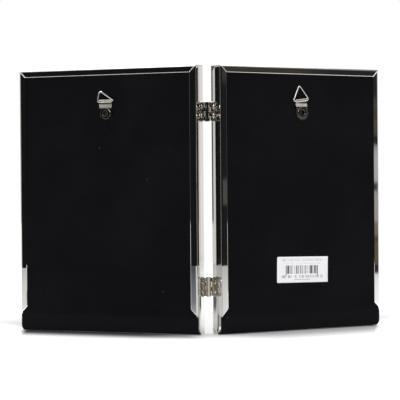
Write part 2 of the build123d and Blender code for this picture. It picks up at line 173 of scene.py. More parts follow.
class Graph:
    """A node tree that finishes and the studio are written in."""

    def __init__(self, tree: bpy.types.NodeTree) -> None:
        """Starts the tree empty."""
        self.tree = tree
        tree.nodes.clear()

    def node(self, kind: str, settings: Dict[str, Any], inputs: Dict[Any, Input]) -> bpy.types.Node:
        """Adds a node.

        Args:
            kind: the node's type.
            settings: its properties, set first; stops are a ramp's.
            inputs: values or links by socket name or number.

        Returns:
            The node.
        """
        made = self.tree.nodes.new(kind)
        for name, setting in settings.items():
            if name == "stops":
                self._set_stops(made.color_ramp, setting)
            else:
                setattr(made, name, setting)
        for key, given in inputs.items():
            socket = made.inputs[key]
            given = given.socket if isinstance(given, Tone) else given
            if isinstance(given, bpy.types.NodeSocket):
                self.tree.links.new(given, socket)
            elif isinstance(given, (int, float)):
                socket.default_value = given
            else:
                room = len(socket.default_value)
                socket.default_value = (*given, 1.0)[:room] if len(given) < room else given
        return made

    @staticmethod
    def _set_stops(ramp: bpy.types.ColorRamp, stops: Sequence[Stop]) -> None:
        """Gives a ramp its stops, in rising order."""
        while len(ramp.elements) < len(stops):
            ramp.elements.new(1.0)
        for element, (position, colour) in zip(ramp.elements, stops):
            element.position = position
            element.color = (*colour, 1.0)

    def ramp(self, tone: Tone, stops: Sequence[Stop]) -> bpy.types.NodeSocket:
        """A colour that follows a tone through stops."""
        return self.node("ShaderNodeValToRGB", {"stops": stops}, {"Fac": tone}).outputs["Color"]

    def mix(self, factor: Input, first: Input, second: Input) -> bpy.types.NodeSocket:
        """A colour from first at factor 0 to second at factor 1."""
        made = self.node("ShaderNodeMix", {"data_type": "RGBA"}, {0: factor, 6: first, 7: second})
        return made.outputs[2]

    def split(self, vector: bpy.types.NodeSocket) -> List[Tone]:
        """The three numbers of a vector."""
        return [Tone(self, out) for out in self.node("ShaderNodeSeparateXYZ", {}, {0: vector}).outputs]

    def dot(self, vector: bpy.types.NodeSocket, axis: Sequence[float]) -> Tone:
        """How far a vector reaches along an axis."""
        made = self.node("ShaderNodeVectorMath", {"operation": "DOT_PRODUCT"}, {0: vector, 1: tuple(axis)})
        return Tone(self, made.outputs["Value"])


class Finish(Graph):
    """A material's graph: patterns on Object coordinates and one Principled shader."""

    def __init__(self, name: str) -> None:
        """Makes the material and its place on the surface."""
        self.material = bpy.data.materials.new(name)
        self.material.use_nodes = True
        super().__init__(self.material.node_tree)
        coords = self.node("ShaderNodeTexCoord", {}, {})
        self.place = coords.outputs["Object"]
        self.sheet = coords.outputs["UV"]

    def stretched(self, turn: float, scale: Sequence[float]) -> bpy.types.NodeSocket:
        """The place turned about Z and scaled, for patterns with a direction."""
        values = {"Vector": self.place, "Rotation": (0.0, 0.0, turn), "Scale": tuple(scale)}
        return self.node("ShaderNodeMapping", {"vector_type": "POINT"}, values).outputs[0]

    def cloud(self, scale: float, detail: float = 3.0, rough: float = 0.5,
              place: Optional[bpy.types.NodeSocket] = None) -> Tone:
        """Noise.

        Args:
            scale: how many lumps to a metre.
            detail: how many finer layers.
            rough: how strong they are.
            place: the coordinates, the surface's own where not given.

        Returns:
            The noise, about 0.5.
        """
        values = {"Vector": place or self.place, "Scale": scale, "Detail": detail, "Roughness": rough}
        return Tone(self, self.node("ShaderNodeTexNoise", {}, values).outputs[0])

    def specks(self, scale: float, share: float, radius: float) -> Tone:
        """Small round specks strewn over the surface.

        Args:
            scale: how many cells to a metre, each with at most one speck.
            share: the share of the cells that have one.
            radius: a speck's size as a part of its cell.

        Returns:
            One on a speck and 0 elsewhere.
        """
        cells = self.node("ShaderNodeTexVoronoi", {}, {"Vector": self.place, "Scale": scale})
        chance = self.split(cells.outputs["Color"])[0]
        near = Tone(self, cells.outputs["Distance"]).rise(radius, radius * 0.4)
        return near * (chance < share)

    def draw(self, step: Tone) -> Tone:
        """A number from 0 to 1 drawn for each whole step."""
        made = self.node("ShaderNodeTexWhiteNoise", {"noise_dimensions": "1D"}, {"W": step})
        return Tone(self, made.outputs[0])

    def bump(self, height: Tone, depth: float, strength: float = 1.0,
             under: Optional[bpy.types.NodeSocket] = None) -> bpy.types.NodeSocket:
        """Relief.

        Args:
            height: the relief's height.
            depth: how many metres a height of 1 stands for.
            strength: how much of it shows.
            under: the normal of a coarser relief that this one lies on.

        Returns:
            The normal.
        """
        values = {"Height": height, "Distance": depth, "Strength": strength}
        if under is not None:
            values["Normal"] = under
        return self.node("ShaderNodeBump", {}, values).outputs[0]

    def close(self, inputs: Dict[str, Input]) -> bpy.types.Material:
        """Ends the graph in a Principled shader with these inputs and gives the material."""
        shader = self.node("ShaderNodeBsdfPrincipled", {}, inputs)
        self.node("ShaderNodeOutputMaterial", {}, {"Surface": shader.outputs[0]})
        return self.material


@dataclass(frozen=True)
class PolishedMetal:
    """Bright plated sheet metal with wipe marks, hairline scratches and a little tarnish."""

    name: str = "polished_metal"
    bright: Colour = (0.80, 0.795, 0.785)
    tarnish: Colour = (0.50, 0.455, 0.39)
    gloss: float = 0.012
    smear: float = 0.035
    lip_depth: float = 0.6
    end_height: float = 13.7
    end_roll: float = 0.9
    end_drop: float = 0.00021
    wave_depth: float = 0.00005

    def _rolled_ends(self, g: Finish) -> bpy.types.NodeSocket:
        """The normal of the lips' slanted lower ends, rolled over a little towards the cut."""
        panel = Panel(Side.RIGHT)
        x, y, z = g.split(g.place)
        along = panel.reach(panel.along, x, y) * (1 / MM)
        back = panel.reach(panel.back, x, y) * (1 / MM)
        edge = along.at_most(panel.width - along)
        inside = (z * (1 / MM) - edge - self.end_height) * (math.sqrt(0.5) / self.end_roll)
        near = (1.0 - inside).at_least(0.0).at_most(1.0) * (back > -self.lip_depth)
        return g.bump(near * near * -1.0, self.end_drop)

    def make(self) -> bpy.types.Material:
        """Builds the material."""
        g = Finish(self.name)
        wipes = g.cloud(26.0, 4.0, 0.6).rise(0.42, 0.72)
        fine = g.cloud(190.0, 3.0, 0.6, g.stretched(0.5, (1.0, 1.0, 0.16))).rise(0.5, 0.8)
        hairs = g.cloud(1500.0, 2.0, 0.5, g.stretched(-0.35, (1.0, 1.0, 0.03))).rise(0.62, 0.8)
        stain = g.cloud(70.0, 5.0, 0.65).rise(0.58, 0.8)
        base = g.mix(stain * 0.5, self.bright, self.tarnish)
        rough = self.gloss + wipes * self.smear * 0.6 + fine * 0.015 + hairs * 0.02 + stain * 0.04
        waves = g.cloud(14.0, 1.0, 0.4) + hairs * 0.004
        return g.close({"Base Color": base, "Metallic": 1.0, "Roughness": rough,
                        "Normal": g.bump(waves, self.wave_depth, 0.5, self._rolled_ends(g))})


@dataclass(frozen=True)
class PlatedSteel:
    """Tumbled nickel plate on small hardware, warmer and duller than the frames.

    Knuckles of radius barrel stay free of dull patches, a painted highlight that keeps them bright, and a
    strap bends out by bow_out over bow_span.
    """

    name: str
    bright: Colour
    dull: Colour
    gloss: float
    blotch: float
    patch: float = 260.0
    spread: float = 0.06
    barrel: float = 0.0
    barrel_blend: float = 1.15
    bow_span: Span = (0.0, 0.0)
    bow_out: float = 0.0
    grain_depth: float = 0.00001

    def make(self) -> bpy.types.Material:
        """Builds the material."""
        g = Finish(self.name)
        patches = g.cloud(self.patch, 4.0, 0.6).rise(0.45, 0.75)
        # Painted highlight: the knuckles round the hinge axis get no dull patches, so they stay bright.
        if self.barrel:
            x, y, _ = g.split(g.place)
            y = y - HINGE_AXIS
            clear, full = self.barrel ** 2, (self.barrel * self.barrel_blend) ** 2
            patches = patches * (x * x + y * y).rise(clear, full)
        grain = g.cloud(2600.0, 3.0, 0.6)
        pits = g.specks(1300.0, 0.18, 0.26)
        base = g.mix(patches * self.blotch, self.bright, self.dull)
        base = g.mix(pits * 0.4, base, self.dull)
        rough = self.gloss + patches * self.spread + grain * 0.03
        height = grain * 0.2 - pits * 0.5
        bent = None
        if self.bow_out:
            bent = g.bump(g.split(g.place)[2].rise(*self.bow_span), self.bow_out)
        return g.close({"Base Color": base, "Metallic": 1.0, "Roughness": rough,
                        "Normal": g.bump(height, self.grain_depth, 0.5, bent)})


@dataclass(frozen=True)
class BlackVelvet:
    """Flocked black pile with brushed patches, a few specks of lint, and painted light: a lighter tab at
    the bottom, which lies in shade.
    """

    name: str = "black_velvet"
    pile: Colour = (0.0023, 0.0023, 0.0031)
    brushed: Colour = (0.0051, 0.0050, 0.0065)
    # Painted light: the lighter colour given to the tab in place of its shade.
    tab: Colour = (0.0066, 0.0065, 0.0088)
    tab_light_blend: Span = (0.0150, 0.0120)
    tab_light_share: float = 0.6
    lint: Colour = (0.16, 0.16, 0.17)
    dust: float = 0.16
    fluff: float = 0.7
    pile_depth: float = 0.0003

    def make(self) -> bpy.types.Material:
        """Builds the material."""
        g = Finish(self.name)
        strokes = g.cloud(16.0, 4.0, 0.6).rise(0.38, 0.68)
        fibres = g.cloud(2400.0, 3.0, 0.7)
        clumps = g.cloud(620.0, 3.0, 0.6)
        base = g.mix(strokes * 0.6 + clumps * 0.4, self.pile, self.brushed)
        # Painted light: the velvet turns lighter towards the bottom of the tab, which faces down into
        # shade.
        base = g.mix(g.split(g.place)[2].rise(*self.tab_light_blend) * self.tab_light_share, base, self.tab)
        dust = g.specks(260.0, 0.30, 0.11) * self.dust
        fluff = g.specks(85.0, 0.16, 0.045) * self.fluff
        base = g.mix((dust + fluff).at_most(1.0), base, self.lint)
        height = fibres + clumps * 0.7
        return g.close({"Base Color": base, "Roughness": 1.0, "Specular IOR Level": 0.08,
                        "Sheen Weight": 0.035, "Sheen Roughness": 0.45, "Sheen Tint": (0.7, 0.7, 0.85, 1.0),
                        "Normal": g.bump(height, self.pile_depth, 0.7)})


@dataclass(frozen=True)
class CardStock:
    """Pressed board or card: fibres, flecks and a soft uneven tone."""

    name: str
    light: Colour
    dark: Colour
    rough: float = 0.85
    fibre_depth: float = 0.0001

    def make(self) -> bpy.types.Material:
        """Builds the material."""
        g = Finish(self.name)
        tone = g.cloud(34.0, 4.0, 0.6)
        fibres = g.cloud(900.0, 3.0, 0.7, g.stretched(0.2, (1.0, 1.0, 0.3)))
        flecks = g.specks(700.0, 0.2, 0.2)
        base = g.mix(tone * 0.5 + fibres * 0.5, self.dark, self.light)
        base = g.mix(flecks * 0.5, base, self.dark)
        return g.close({"Base Color": base, "Roughness": self.rough - fibres * 0.1,
                        "Specular IOR Level": 0.25, "Normal": g.bump(fibres, self.fibre_depth, 0.5)})


@dataclass(frozen=True)
class ClearGlass:
    """Plain picture glass with faint wipe marks and dust."""

    name: str = "clear_glass"
    tint: Colour = (0.985, 0.993, 0.988)
    index: float = 1.5

    def make(self) -> bpy.types.Material:
        """Builds the material; light passes straight through it, so that it casts no dark shadow."""
        g = Finish(self.name)
        wipes = g.cloud(30.0, 4.0, 0.6, g.stretched(0.6, (1.0, 1.0, 0.35))).rise(0.5, 0.8)
        dust = g.specks(420.0, 0.12, 0.09)
        pane = g.node("ShaderNodeBsdfPrincipled", {}, {
            "Base Color": self.tint, "Roughness": wipes * 0.02 + dust * 0.3, "Transmission Weight": 1.0,
            "IOR": self.index})
        through = g.node("ShaderNodeBsdfTransparent", {}, {"Color": self.tint})
        shadow = g.node("ShaderNodeLightPath", {}, {}).outputs["Is Shadow Ray"]
        mixed = g.node("ShaderNodeMixShader", {}, {0: shadow, 1: pane.outputs[0], 2: through.outputs[0]})
        g.node("ShaderNodeOutputMaterial", {}, {"Surface": mixed.outputs[0]})
        return g.material


@dataclass(frozen=True)
class Panel:
    """One frame's own axes: along from the hinge, up, and back from the lip's outer face."""

    side: Side
    turn: float = math.radians(29.5)
    corner: Tuple[float, float] = (9.407, -43.329)
    width: float = 152.4
    height: float = 203.2

    @property
    def along(self) -> Vector:
        """The direction from the hinge edge outwards."""
        return Vector((self.side.sign * math.cos(self.turn), math.sin(self.turn), 0.0))

    @property
    def back(self) -> Vector:
        """The direction out of the back."""
        return Vector((self.side.sign * math.sin(self.turn), -math.cos(self.turn), 0.0))

    @property
    def origin(self) -> Vector:
        """The lip's outer face at the hinge edge, on the table, in metres."""
        return Vector((self.side.sign * self.corner[0], self.corner[1], 0.0)) * MM

    def point(self, along: float, up: float, back: float) -> Vector:
        """A place given in millimetres on the panel's axes, in metres in the shared frame."""
        return self.origin + (self.along * along + self.back * back + Vector((0.0, 0.0, up))) * MM

    def reach(self, axis: Vector, x: Tone, y: Tone) -> Tone:
        """How far a place on either side lies along an axis of the right panel, in metres."""
        return abs(x) * axis.x + y * axis.y - self.origin.dot(axis)


@dataclass(frozen=True)
class PhotoPaper:
    """A plain picture insert: satin paper with two ruled border lines."""

    panel: Panel
    paper: Colour = (0.90, 0.88, 0.84)
    shade: Colour = (0.82, 0.80, 0.755)
    rule: Colour = (0.30, 0.28, 0.25)
    outer_line: float = 23.5
    outer_width: float = 0.7
    inner_line: float = 26.0
    inner_width: float = 0.3
    line_blur: float = 0.08
    fibre_depth: float = 0.00003

    def make(self) -> bpy.types.Material:
        """Builds the material."""
        g = Finish("photo_paper_" + self.panel.side.value)
        along = g.dot(g.place, self.panel.along / MM) - self.panel.origin.dot(self.panel.along) / MM
        up = g.split(g.place)[2] * (1 / MM)
        half_width, half_height = self.panel.width / 2, self.panel.height / 2
        edge = (half_width - abs(along - half_width)).at_most(half_height - abs(up - half_height))
        line = edge.within(self.outer_line, self.outer_line + self.outer_width, self.line_blur)
        thin = edge.within(self.inner_line, self.inner_line + self.inner_width, self.line_blur)
        inside = edge.rise(self.inner_line, self.inner_line + 0.4)
        fibres = g.cloud(1400.0, 3.0, 0.6)
        tone = g.cloud(22.0, 3.0, 0.5)
        base = g.mix(tone * 0.35 + fibres * 0.25 + inside * 0.3, self.paper, self.shade)
        base = g.mix(line * 0.9 + thin * 0.6, base, self.rule)
        return g.close({"Base Color": base, "Roughness": 0.42 + fibres * 0.12, "Coat Weight": 0.15,
                        "Normal": g.bump(fibres, self.fibre_depth, 0.4)})


@dataclass(frozen=True)
class PrintRow:
    """A row of small printed marks: its place in parts of the label's size, its steps and its ink."""

    rows: Span
    columns: Span
    steps: int
    ink: float
    bare: float = 0.5
    row_blur: float = 0.006
    column_blur: float = 0.001

    def marks(self, g: Finish, u: Tone, v: Tone) -> Tone:
        """The row's ink at the place u across and v up the label."""
        draw = g.draw((u * float(self.steps)).floor() + self.rows[0] * 100.0)
        shown = v.within(*self.rows, self.row_blur) * u.within(*self.columns, self.column_blur)
        return (draw > self.bare) * shown * self.ink


@dataclass(frozen=True)
class LabelPaper:
    """White label paper with a generic bar pattern and grey rules, laid out on its own sheet."""

    name: str = "label_paper"
    paper: Colour = (0.955, 0.955, 0.99)
    fibre: Colour = (0.90, 0.90, 0.925)
    ink: Colour = (0.10, 0.10, 0.12)
    bars: Span = (0.165, 0.80)
    bar_steps: int = 95
    bar_rows: Span = (0.34, 0.66)
    bar_ink: float = 0.95
    guard_row: float = 0.265
    guard_width: float = 0.022
    blur: float = 0.0005
    row_blur: float = 0.004
    digits: PrintRow = PrintRow((0.185, 0.285), (0.09, 0.90), 96, 0.5)
    small: PrintRow = PrintRow((0.715, 0.755), (0.13, 0.86), 110, 0.24)
    title: PrintRow = PrintRow((0.82, 0.92), (0.09, 0.88), 88, 0.16)
    title_ground: float = 0.09
    foot_rows: Span = (0.10, 0.135)
    foot_columns: Span = (0.34, 0.65)
    foot_ink: float = 0.4
    fibre_depth: float = 0.00002

    def _code(self, g: Finish, u: Tone, v: Tone) -> Tone:
        """The bars, drawn at random, with longer ones at both ends."""
        first, last = self.bars
        step = ((u - first) * (self.bar_steps / (last - first))).floor()
        draw = g.draw(step)
        span = u.within(first, last, self.blur)
        code = (draw > 0.5) * span * v.within(*self.bar_rows, self.row_blur)
        ends = 1.0 - u.within(first + self.guard_width, last - self.guard_width, self.blur)
        guards = (draw > 0.4) * span * ends * v.within(self.guard_row, self.bar_rows[1], self.row_blur)
        return code.at_least(guards) * self.bar_ink

    def make(self) -> bpy.types.Material:
        """Builds the material."""
        g = Finish(self.name)
        u, v, _ = g.split(g.sheet)
        ground = v.within(*self.title.rows, 0.008) * u.within(*self.title.columns, 0.002)
        foot = v.within(*self.foot_rows, 0.006) * u.within(*self.foot_columns, 0.002)
        ink = self._code(g, u, v) + ground * self.title_ground + foot * self.foot_ink
        for row in (self.digits, self.small, self.title):
            ink = ink + row.marks(g, u, v)
        fibres = g.cloud(1600.0, 3.0, 0.6)
        worn = ink.at_most(1.0) * (0.86 + fibres * 0.28).at_most(1.0)
        base = g.mix(worn, g.mix(fibres * 0.35, self.paper, self.fibre), self.ink)
        return g.close({"Base Color": base, "Roughness": 0.55 + fibres * 0.15,
                        "Normal": g.bump(fibres, self.fibre_depth, 0.4)})


@dataclass
class Workshop:
    """Makes each finish once and puts it on nodes and pieces."""

    made: Dict[str, bpy.types.Material] = field(default_factory=dict)

    def coat(self, target: bpy.types.Object, finish: Any, key: str) -> None:
        """Puts one finish on all of an object.

        Args:
            target: a CAD node's object or a new piece.
            finish: the finish, with a make method.
            key: the name under which the finish is shared.
        """
        if key not in self.made:
            self.made[key] = finish.make()
        target.data.materials.clear()
        target.data.materials.append(self.made[key])
        LOG.info("%s: %s", target.name, key)


CHROME = PolishedMetal()
# Both hinges have the same plating; the lower hinge's copy has darker colours, painted shade that dims the
# bright table it mirrors.
UPPER_NICKEL = PlatedSteel(
    "upper_hinge_nickel", bright=(0.76, 0.72, 0.67), dull=(0.22, 0.19, 0.155), gloss=0.07, blotch=0.85,
    patch=420.0, spread=0.55, barrel=KNUCKLE_RADIUS)
SHADED_LOWER_NICKEL = PlatedSteel(
    "lower_hinge_nickel_painted_shade", bright=(0.60, 0.56, 0.50), dull=(0.075, 0.06, 0.045), gloss=0.06, blotch=0.95,
    patch=520.0, spread=0.4, barrel=KNUCKLE_RADIUS)
SCREW_NICKEL = PlatedSteel(
    "screw_nickel", bright=(0.92, 0.90, 0.87), dull=(0.62, 0.58, 0.53), gloss=0.05, blotch=0.3,
    patch=420.0, spread=0.2)
HANGER_NICKEL = PlatedSteel(
    "hanger_nickel", bright=(0.74, 0.715, 0.68), dull=(0.44, 0.405, 0.36), gloss=0.05, blotch=0.5)
STRAP_NICKEL = PlatedSteel(
    "strap_nickel", bright=(0.56, 0.53, 0.495), dull=(0.40, 0.37, 0.33), gloss=0.09, blotch=0.5,
    bow_span=(0.1712, 0.1770), bow_out=0.00065)
EYELET_NICKEL = PlatedSteel(
    "eyelet_nickel", bright=(0.17, 0.165, 0.16), dull=(0.10, 0.095, 0.09), gloss=0.08, blotch=0.5)
VELVET = BlackVelvet()
BLACK_BOARD = CardStock("black_board", (0.026, 0.025, 0.024), (0.013, 0.013, 0.013))
FILLER_CARD = CardStock("filler_card", (0.060, 0.057, 0.052), (0.030, 0.028, 0.026))
SPACER_CARD = CardStock("spacer_card", (0.55, 0.53, 0.49), (0.42, 0.40, 0.36))
GLASS = ClearGlass()
LABEL = LabelPaper()


def mesh_object(name: str, shape: bmesh.types.BMesh) -> bpy.types.Object:
    """Turns a bmesh into a smooth-shaded object at the origin.

    Args:
        name: the piece's name.
        shape: its mesh, freed here.

    Returns:
        The object, linked to the scene.
    """
    mesh = bpy.data.meshes.new(name)
    for face in shape.faces:
        face.smooth = True
    shape.to_mesh(mesh)
    shape.free()
    made = bpy.data.objects.new(name, mesh)
    bpy.context.scene.collection.objects.link(made)
    return made


@dataclass
class MetalFrame:
    """One frame's four folded rails."""

    panel: Panel
    rails: Tuple[str, ...] = ("hinge_rail", "outer_rail", "top_rail", "bottom_rail")

    def dress(self, shop: Workshop) -> None:
        """Polishes the rails."""
        for rail in self.rails:
            shop.coat(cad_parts[f"{self.panel.side.value}_{rail}"], CHROME, "polished_metal")


@dataclass
class PictureStack:
    """Glass, picture, filler and spacer inside one frame."""

    panel: Panel

    def dress(self, shop: Workshop) -> None:
        """Gives each layer its material."""
        side = self.panel.side.value
        shop.coat(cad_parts[f"{side}_glass"], GLASS, "clear_glass")
        shop.coat(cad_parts[f"{side}_photo_card"], PhotoPaper(self.panel), f"{side}_photo_paper")
        shop.coat(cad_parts[f"{side}_filler_board"], FILLER_CARD, "filler_card")
        shop.coat(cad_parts[f"{side}_spacer_frame"], SPACER_CARD, "spacer_card")


@dataclass
class SlideBack:
    """One slide-in back: the board, and the flocked sheet that is wrapped round its tab."""

    panel: Panel
    face: float = 0.75
    thick: float = 0.4
    top: float = 202.3
    bend_height: float = 5.3
    bend: float = 5.0
    tab_top: float = 13.4
    inset: float = 0.9
    eyelet_height: float = 168.2
    eyelet_hole: float = 2.7
    eyelet_margin: float = 0.5
    columns: int = 76
    rows: int = 100
    bend_rows: int = 12
    ripple: float = 0.05
    ripple_width: float = 31.0
    ripple_height: float = 27.0
    edge_round: float = 0.13
    edge_angle: float = math.radians(50)
    weld: float = 1e-5

    @property
    def cut_length(self) -> float:
        """The sheet's length before it is wrapped, in millimetres."""
        return self.top - self.bend_height + self.bend * math.pi / 2

    def build(self) -> bpy.types.Object:
        """Cuts the flat sheet, trims it above the tab, pierces it and wraps it round the board."""
        shape = bmesh.new()
        turned = Matrix.Translation((0.5, 0.5, 0.0))
        bmesh.ops.create_grid(shape, x_segments=self.columns, y_segments=self.rows + self.bend_rows,
                              size=0.5, matrix=turned)
        for vertex in shape.verts:
            vertex.co = Vector((vertex.co.x * self.panel.width, self._row_place(vertex.co.y), 0.0))
        self._trim(shape)
        self._pierce(shape)
        self._wrap(shape)
        name = f"{self.panel.side.value}_velvet_sheet"
        sheet = mesh_object(name, shape)
        shell = sheet.modifiers.new("pile_depth", "SOLIDIFY")
        shell.thickness = self.thick * MM
        shell.offset = -1.0
        edge = sheet.modifiers.new("soft_edge", "BEVEL")
        edge.width = self.edge_round * MM
        edge.segments = 2
        edge.limit_method = "ANGLE"
        edge.angle_limit = self.edge_angle
        return sheet

    def _row_place(self, share: float) -> float:
        """Height on the flat sheet, below 0 past the bend, with closer rows in the bend."""
        arc = self.bend * math.pi / 2
        bend_share = self.bend_rows / (self.rows + self.bend_rows)
        if share < bend_share:
            return -arc * (1.0 - share / bend_share)
        return (share - bend_share) / (1.0 - bend_share) * (self.top - self.bend_height)

    def _trim(self, shape: bmesh.types.BMesh) -> None:
        """Takes the two strips beside the tab away, so that the sheet slides inside the rails."""
        tab = self.tab_top - self.bend_height
        cuts = [((self.inset, 0, 0), (1, 0, 0)), ((self.panel.width - self.inset, 0, 0), (1, 0, 0)),
                ((0, tab, 0), (0, 1, 0))]
        for point, normal in cuts:
            parts = shape.verts[:] + shape.edges[:] + shape.faces[:]
            bmesh.ops.bisect_plane(shape, geom=parts, dist=self.weld, plane_co=point, plane_no=normal)
        spare = []
        for one in shape.faces:
            middle = one.calc_center_median()
            inside = self.inset < middle.x < self.panel.width - self.inset
            if middle.y > tab and not inside:
                spare.append(one)
        bmesh.ops.delete(shape, geom=spare, context="FACES")

    def _pierce(self, shape: bmesh.types.BMesh) -> None:
        """Opens the round hole for the eyelet, under the hanger strap."""
        centre = Vector((self.panel.width / 2, self.eyelet_height - self.bend_height, 0.0))
        reach = self.eyelet_hole + self.eyelet_margin
        spare = [one for one in shape.faces if any((v.co - centre).length < reach for v in one.verts)]
        rim = {v for one in spare for v in one.verts}
        bmesh.ops.delete(shape, geom=spare, context="FACES")
        for vertex in rim:
            if vertex.is_valid:
                vertex.co = centre + (vertex.co - centre).normalized() * self.eyelet_hole

    def _wrap(self, shape: bmesh.types.BMesh) -> None:
        """Bends the sheet round the tab, gives it a slight unevenness and sets it in the frame."""
        for vertex in shape.verts:
            along, run = vertex.co.x, vertex.co.y
            wave = Vector((along / self.ripple_width, run / self.ripple_height, self.panel.side.sign))
            lift = self.ripple * noise.noise(wave)
            if run >= 0.0:
                up, back = run + self.bend_height, lift - self.face
            else:
                angle = -run / self.bend
                up = self.bend_height - (self.bend + lift) * math.sin(angle)
                back = (self.bend + lift) * math.cos(angle) - self.bend - self.face
            vertex.co = self.panel.point(along, up, back)
        shape.normal_update()
        outward = sum((one.normal.dot(self.panel.back) for one in shape.faces), 0.0)
        if outward < 0.0:
            bmesh.ops.reverse_faces(shape, faces=shape.faces[:])

    def dress(self, shop: Workshop) -> None:
        """Builds and finishes the sheet, and finishes the board."""
        side = self.panel.side.value
        sheet = self.build()
        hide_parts(f"{side}_velvet")
        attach(sheet, f"{side}_back")
        shop.coat(sheet, VELVET, "black_velvet")
        shop.coat(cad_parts[f"{side}_back_board"], BLACK_BOARD, "black_board")


@dataclass
class Hanger:
    """One strap, its eyelet and its triangle ring."""

    panel: Panel

    def dress(self, shop: Workshop) -> None:
        """Plates the hanger."""
        side = self.panel.side.value
        shop.coat(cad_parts[f"{side}_hanger_strap"], STRAP_NICKEL, "strap_nickel")
        shop.coat(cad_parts[f"{side}_hanger_eyelet"], EYELET_NICKEL, "eyelet_nickel")
        shop.coat(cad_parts[f"{side}_hanger_ring"], HANGER_NICKEL, "hanger_nickel")


@dataclass
class Hinge:
    """One butt hinge with its screws, nut plates and pin."""

    place: Place
    pieces: Tuple[str, ...] = ("left_leaf", "right_leaf", "left_screws", "right_screws",
                               "left_nut_plate", "right_nut_plate", "pin")

    def dress(self, shop: Workshop) -> None:
        """Plates the hinge."""
        for piece in self.pieces:
            # The lower hinge takes the darkened copy of the plating: painted shade.
            plate = UPPER_NICKEL if self.place is Place.UPPER else SHADED_LOWER_NICKEL
            finish = SCREW_NICKEL if "screws" in piece else plate
            shop.coat(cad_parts[f"{self.place.value}_hinge_{piece}"], finish, finish.name)


@dataclass
class PriceLabel:
    """The printed label on the right back."""

    panel: Panel
    width: float = 49.0
    height: float = 20.0
    lift: float = 47.0
    tilt: float = math.radians(-0.9)
    corner: float = 0.5
    thick: float = 0.12
    face: float = 0.75
    sink: float = 0.02
    curl: float = 0.25
    curl_across: int = 8
    curl_up: int = 6
    columns: int = 48
    rows: int = 20

    def build(self) -> bpy.types.Object:
        """Cuts the label with round corners, curls its corners and lays it on the velvet."""
        shape = bmesh.new()
        sheet = shape.loops.layers.uv.new("label")
        bmesh.ops.create_grid(shape, x_segments=self.columns, y_segments=self.rows, size=0.5)
        for face in shape.faces:
            for loop in face.loops:
                loop[sheet].uv = (loop.vert.co.x + 0.5, loop.vert.co.y + 0.5)
        seat = self.face - self.sink
        for vertex in shape.verts:
            across, rise = self._round_corner(vertex.co.x * self.width, vertex.co.y * self.height)
            share_across, share_up = abs(vertex.co.x) * 2.0, abs(vertex.co.y) * 2.0
            out = self.curl * share_across ** self.curl_across * share_up ** self.curl_up
            turned_across = across * math.cos(self.tilt) - rise * math.sin(self.tilt)
            turned_rise = across * math.sin(self.tilt) + rise * math.cos(self.tilt)
            vertex.co = self.panel.point(self.panel.width / 2 + turned_across, self.lift + turned_rise,
                                         out + self.thick - seat)
        shape.normal_update()
        if sum((one.normal.dot(self.panel.back) for one in shape.faces), 0.0) < 0.0:
            bmesh.ops.reverse_faces(shape, faces=shape.faces[:])
        label = mesh_object("right_price_label", shape)
        shell = label.modifiers.new("paper", "SOLIDIFY")
        shell.thickness = self.thick * MM
        shell.offset = -1.0
        return label

    def _round_corner(self, across: float, rise: float) -> Tuple[float, float]:
        """Pulls a point near a corner in to the corner's arc."""
        far_across = abs(across) - (self.width / 2 - self.corner)
        far_rise = abs(rise) - (self.height / 2 - self.corner)
        reach = math.hypot(far_across, far_rise)
        if far_across <= 0.0 or far_rise <= 0.0 or reach <= self.corner:
            return across, rise
        pull = self.corner / reach
        return (math.copysign(self.width / 2 - self.corner + far_across * pull, across),
                math.copysign(self.height / 2 - self.corner + far_rise * pull, rise))

    def dress(self, shop: Workshop) -> None:
        """Builds the label and puts it in its node's place."""
        label = self.build()
        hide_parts("right_sticker")
        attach(label, "right_back")
        shop.coat(label, LABEL, "label_paper")


def rays(g: Graph) -> Tuple[Tone, Tone, Tone]:
    """What looks at a surface: the camera, a mirror or glass."""
    path = g.node("ShaderNodeLightPath", {}, {}).outputs
    kinds = ("Is Camera Ray", "Is Glossy Ray", "Is Transmission Ray")
    camera, mirror, glass = (Tone(g, path[kind]) for kind in kinds)
    return camera, mirror, glass


@dataclass
class Spot:
    """A place on the table: x and y, how far from the middle, and how far behind the frames' backs."""

    x: Tone
    y: Tone
    far: Tone
    behind: Tone


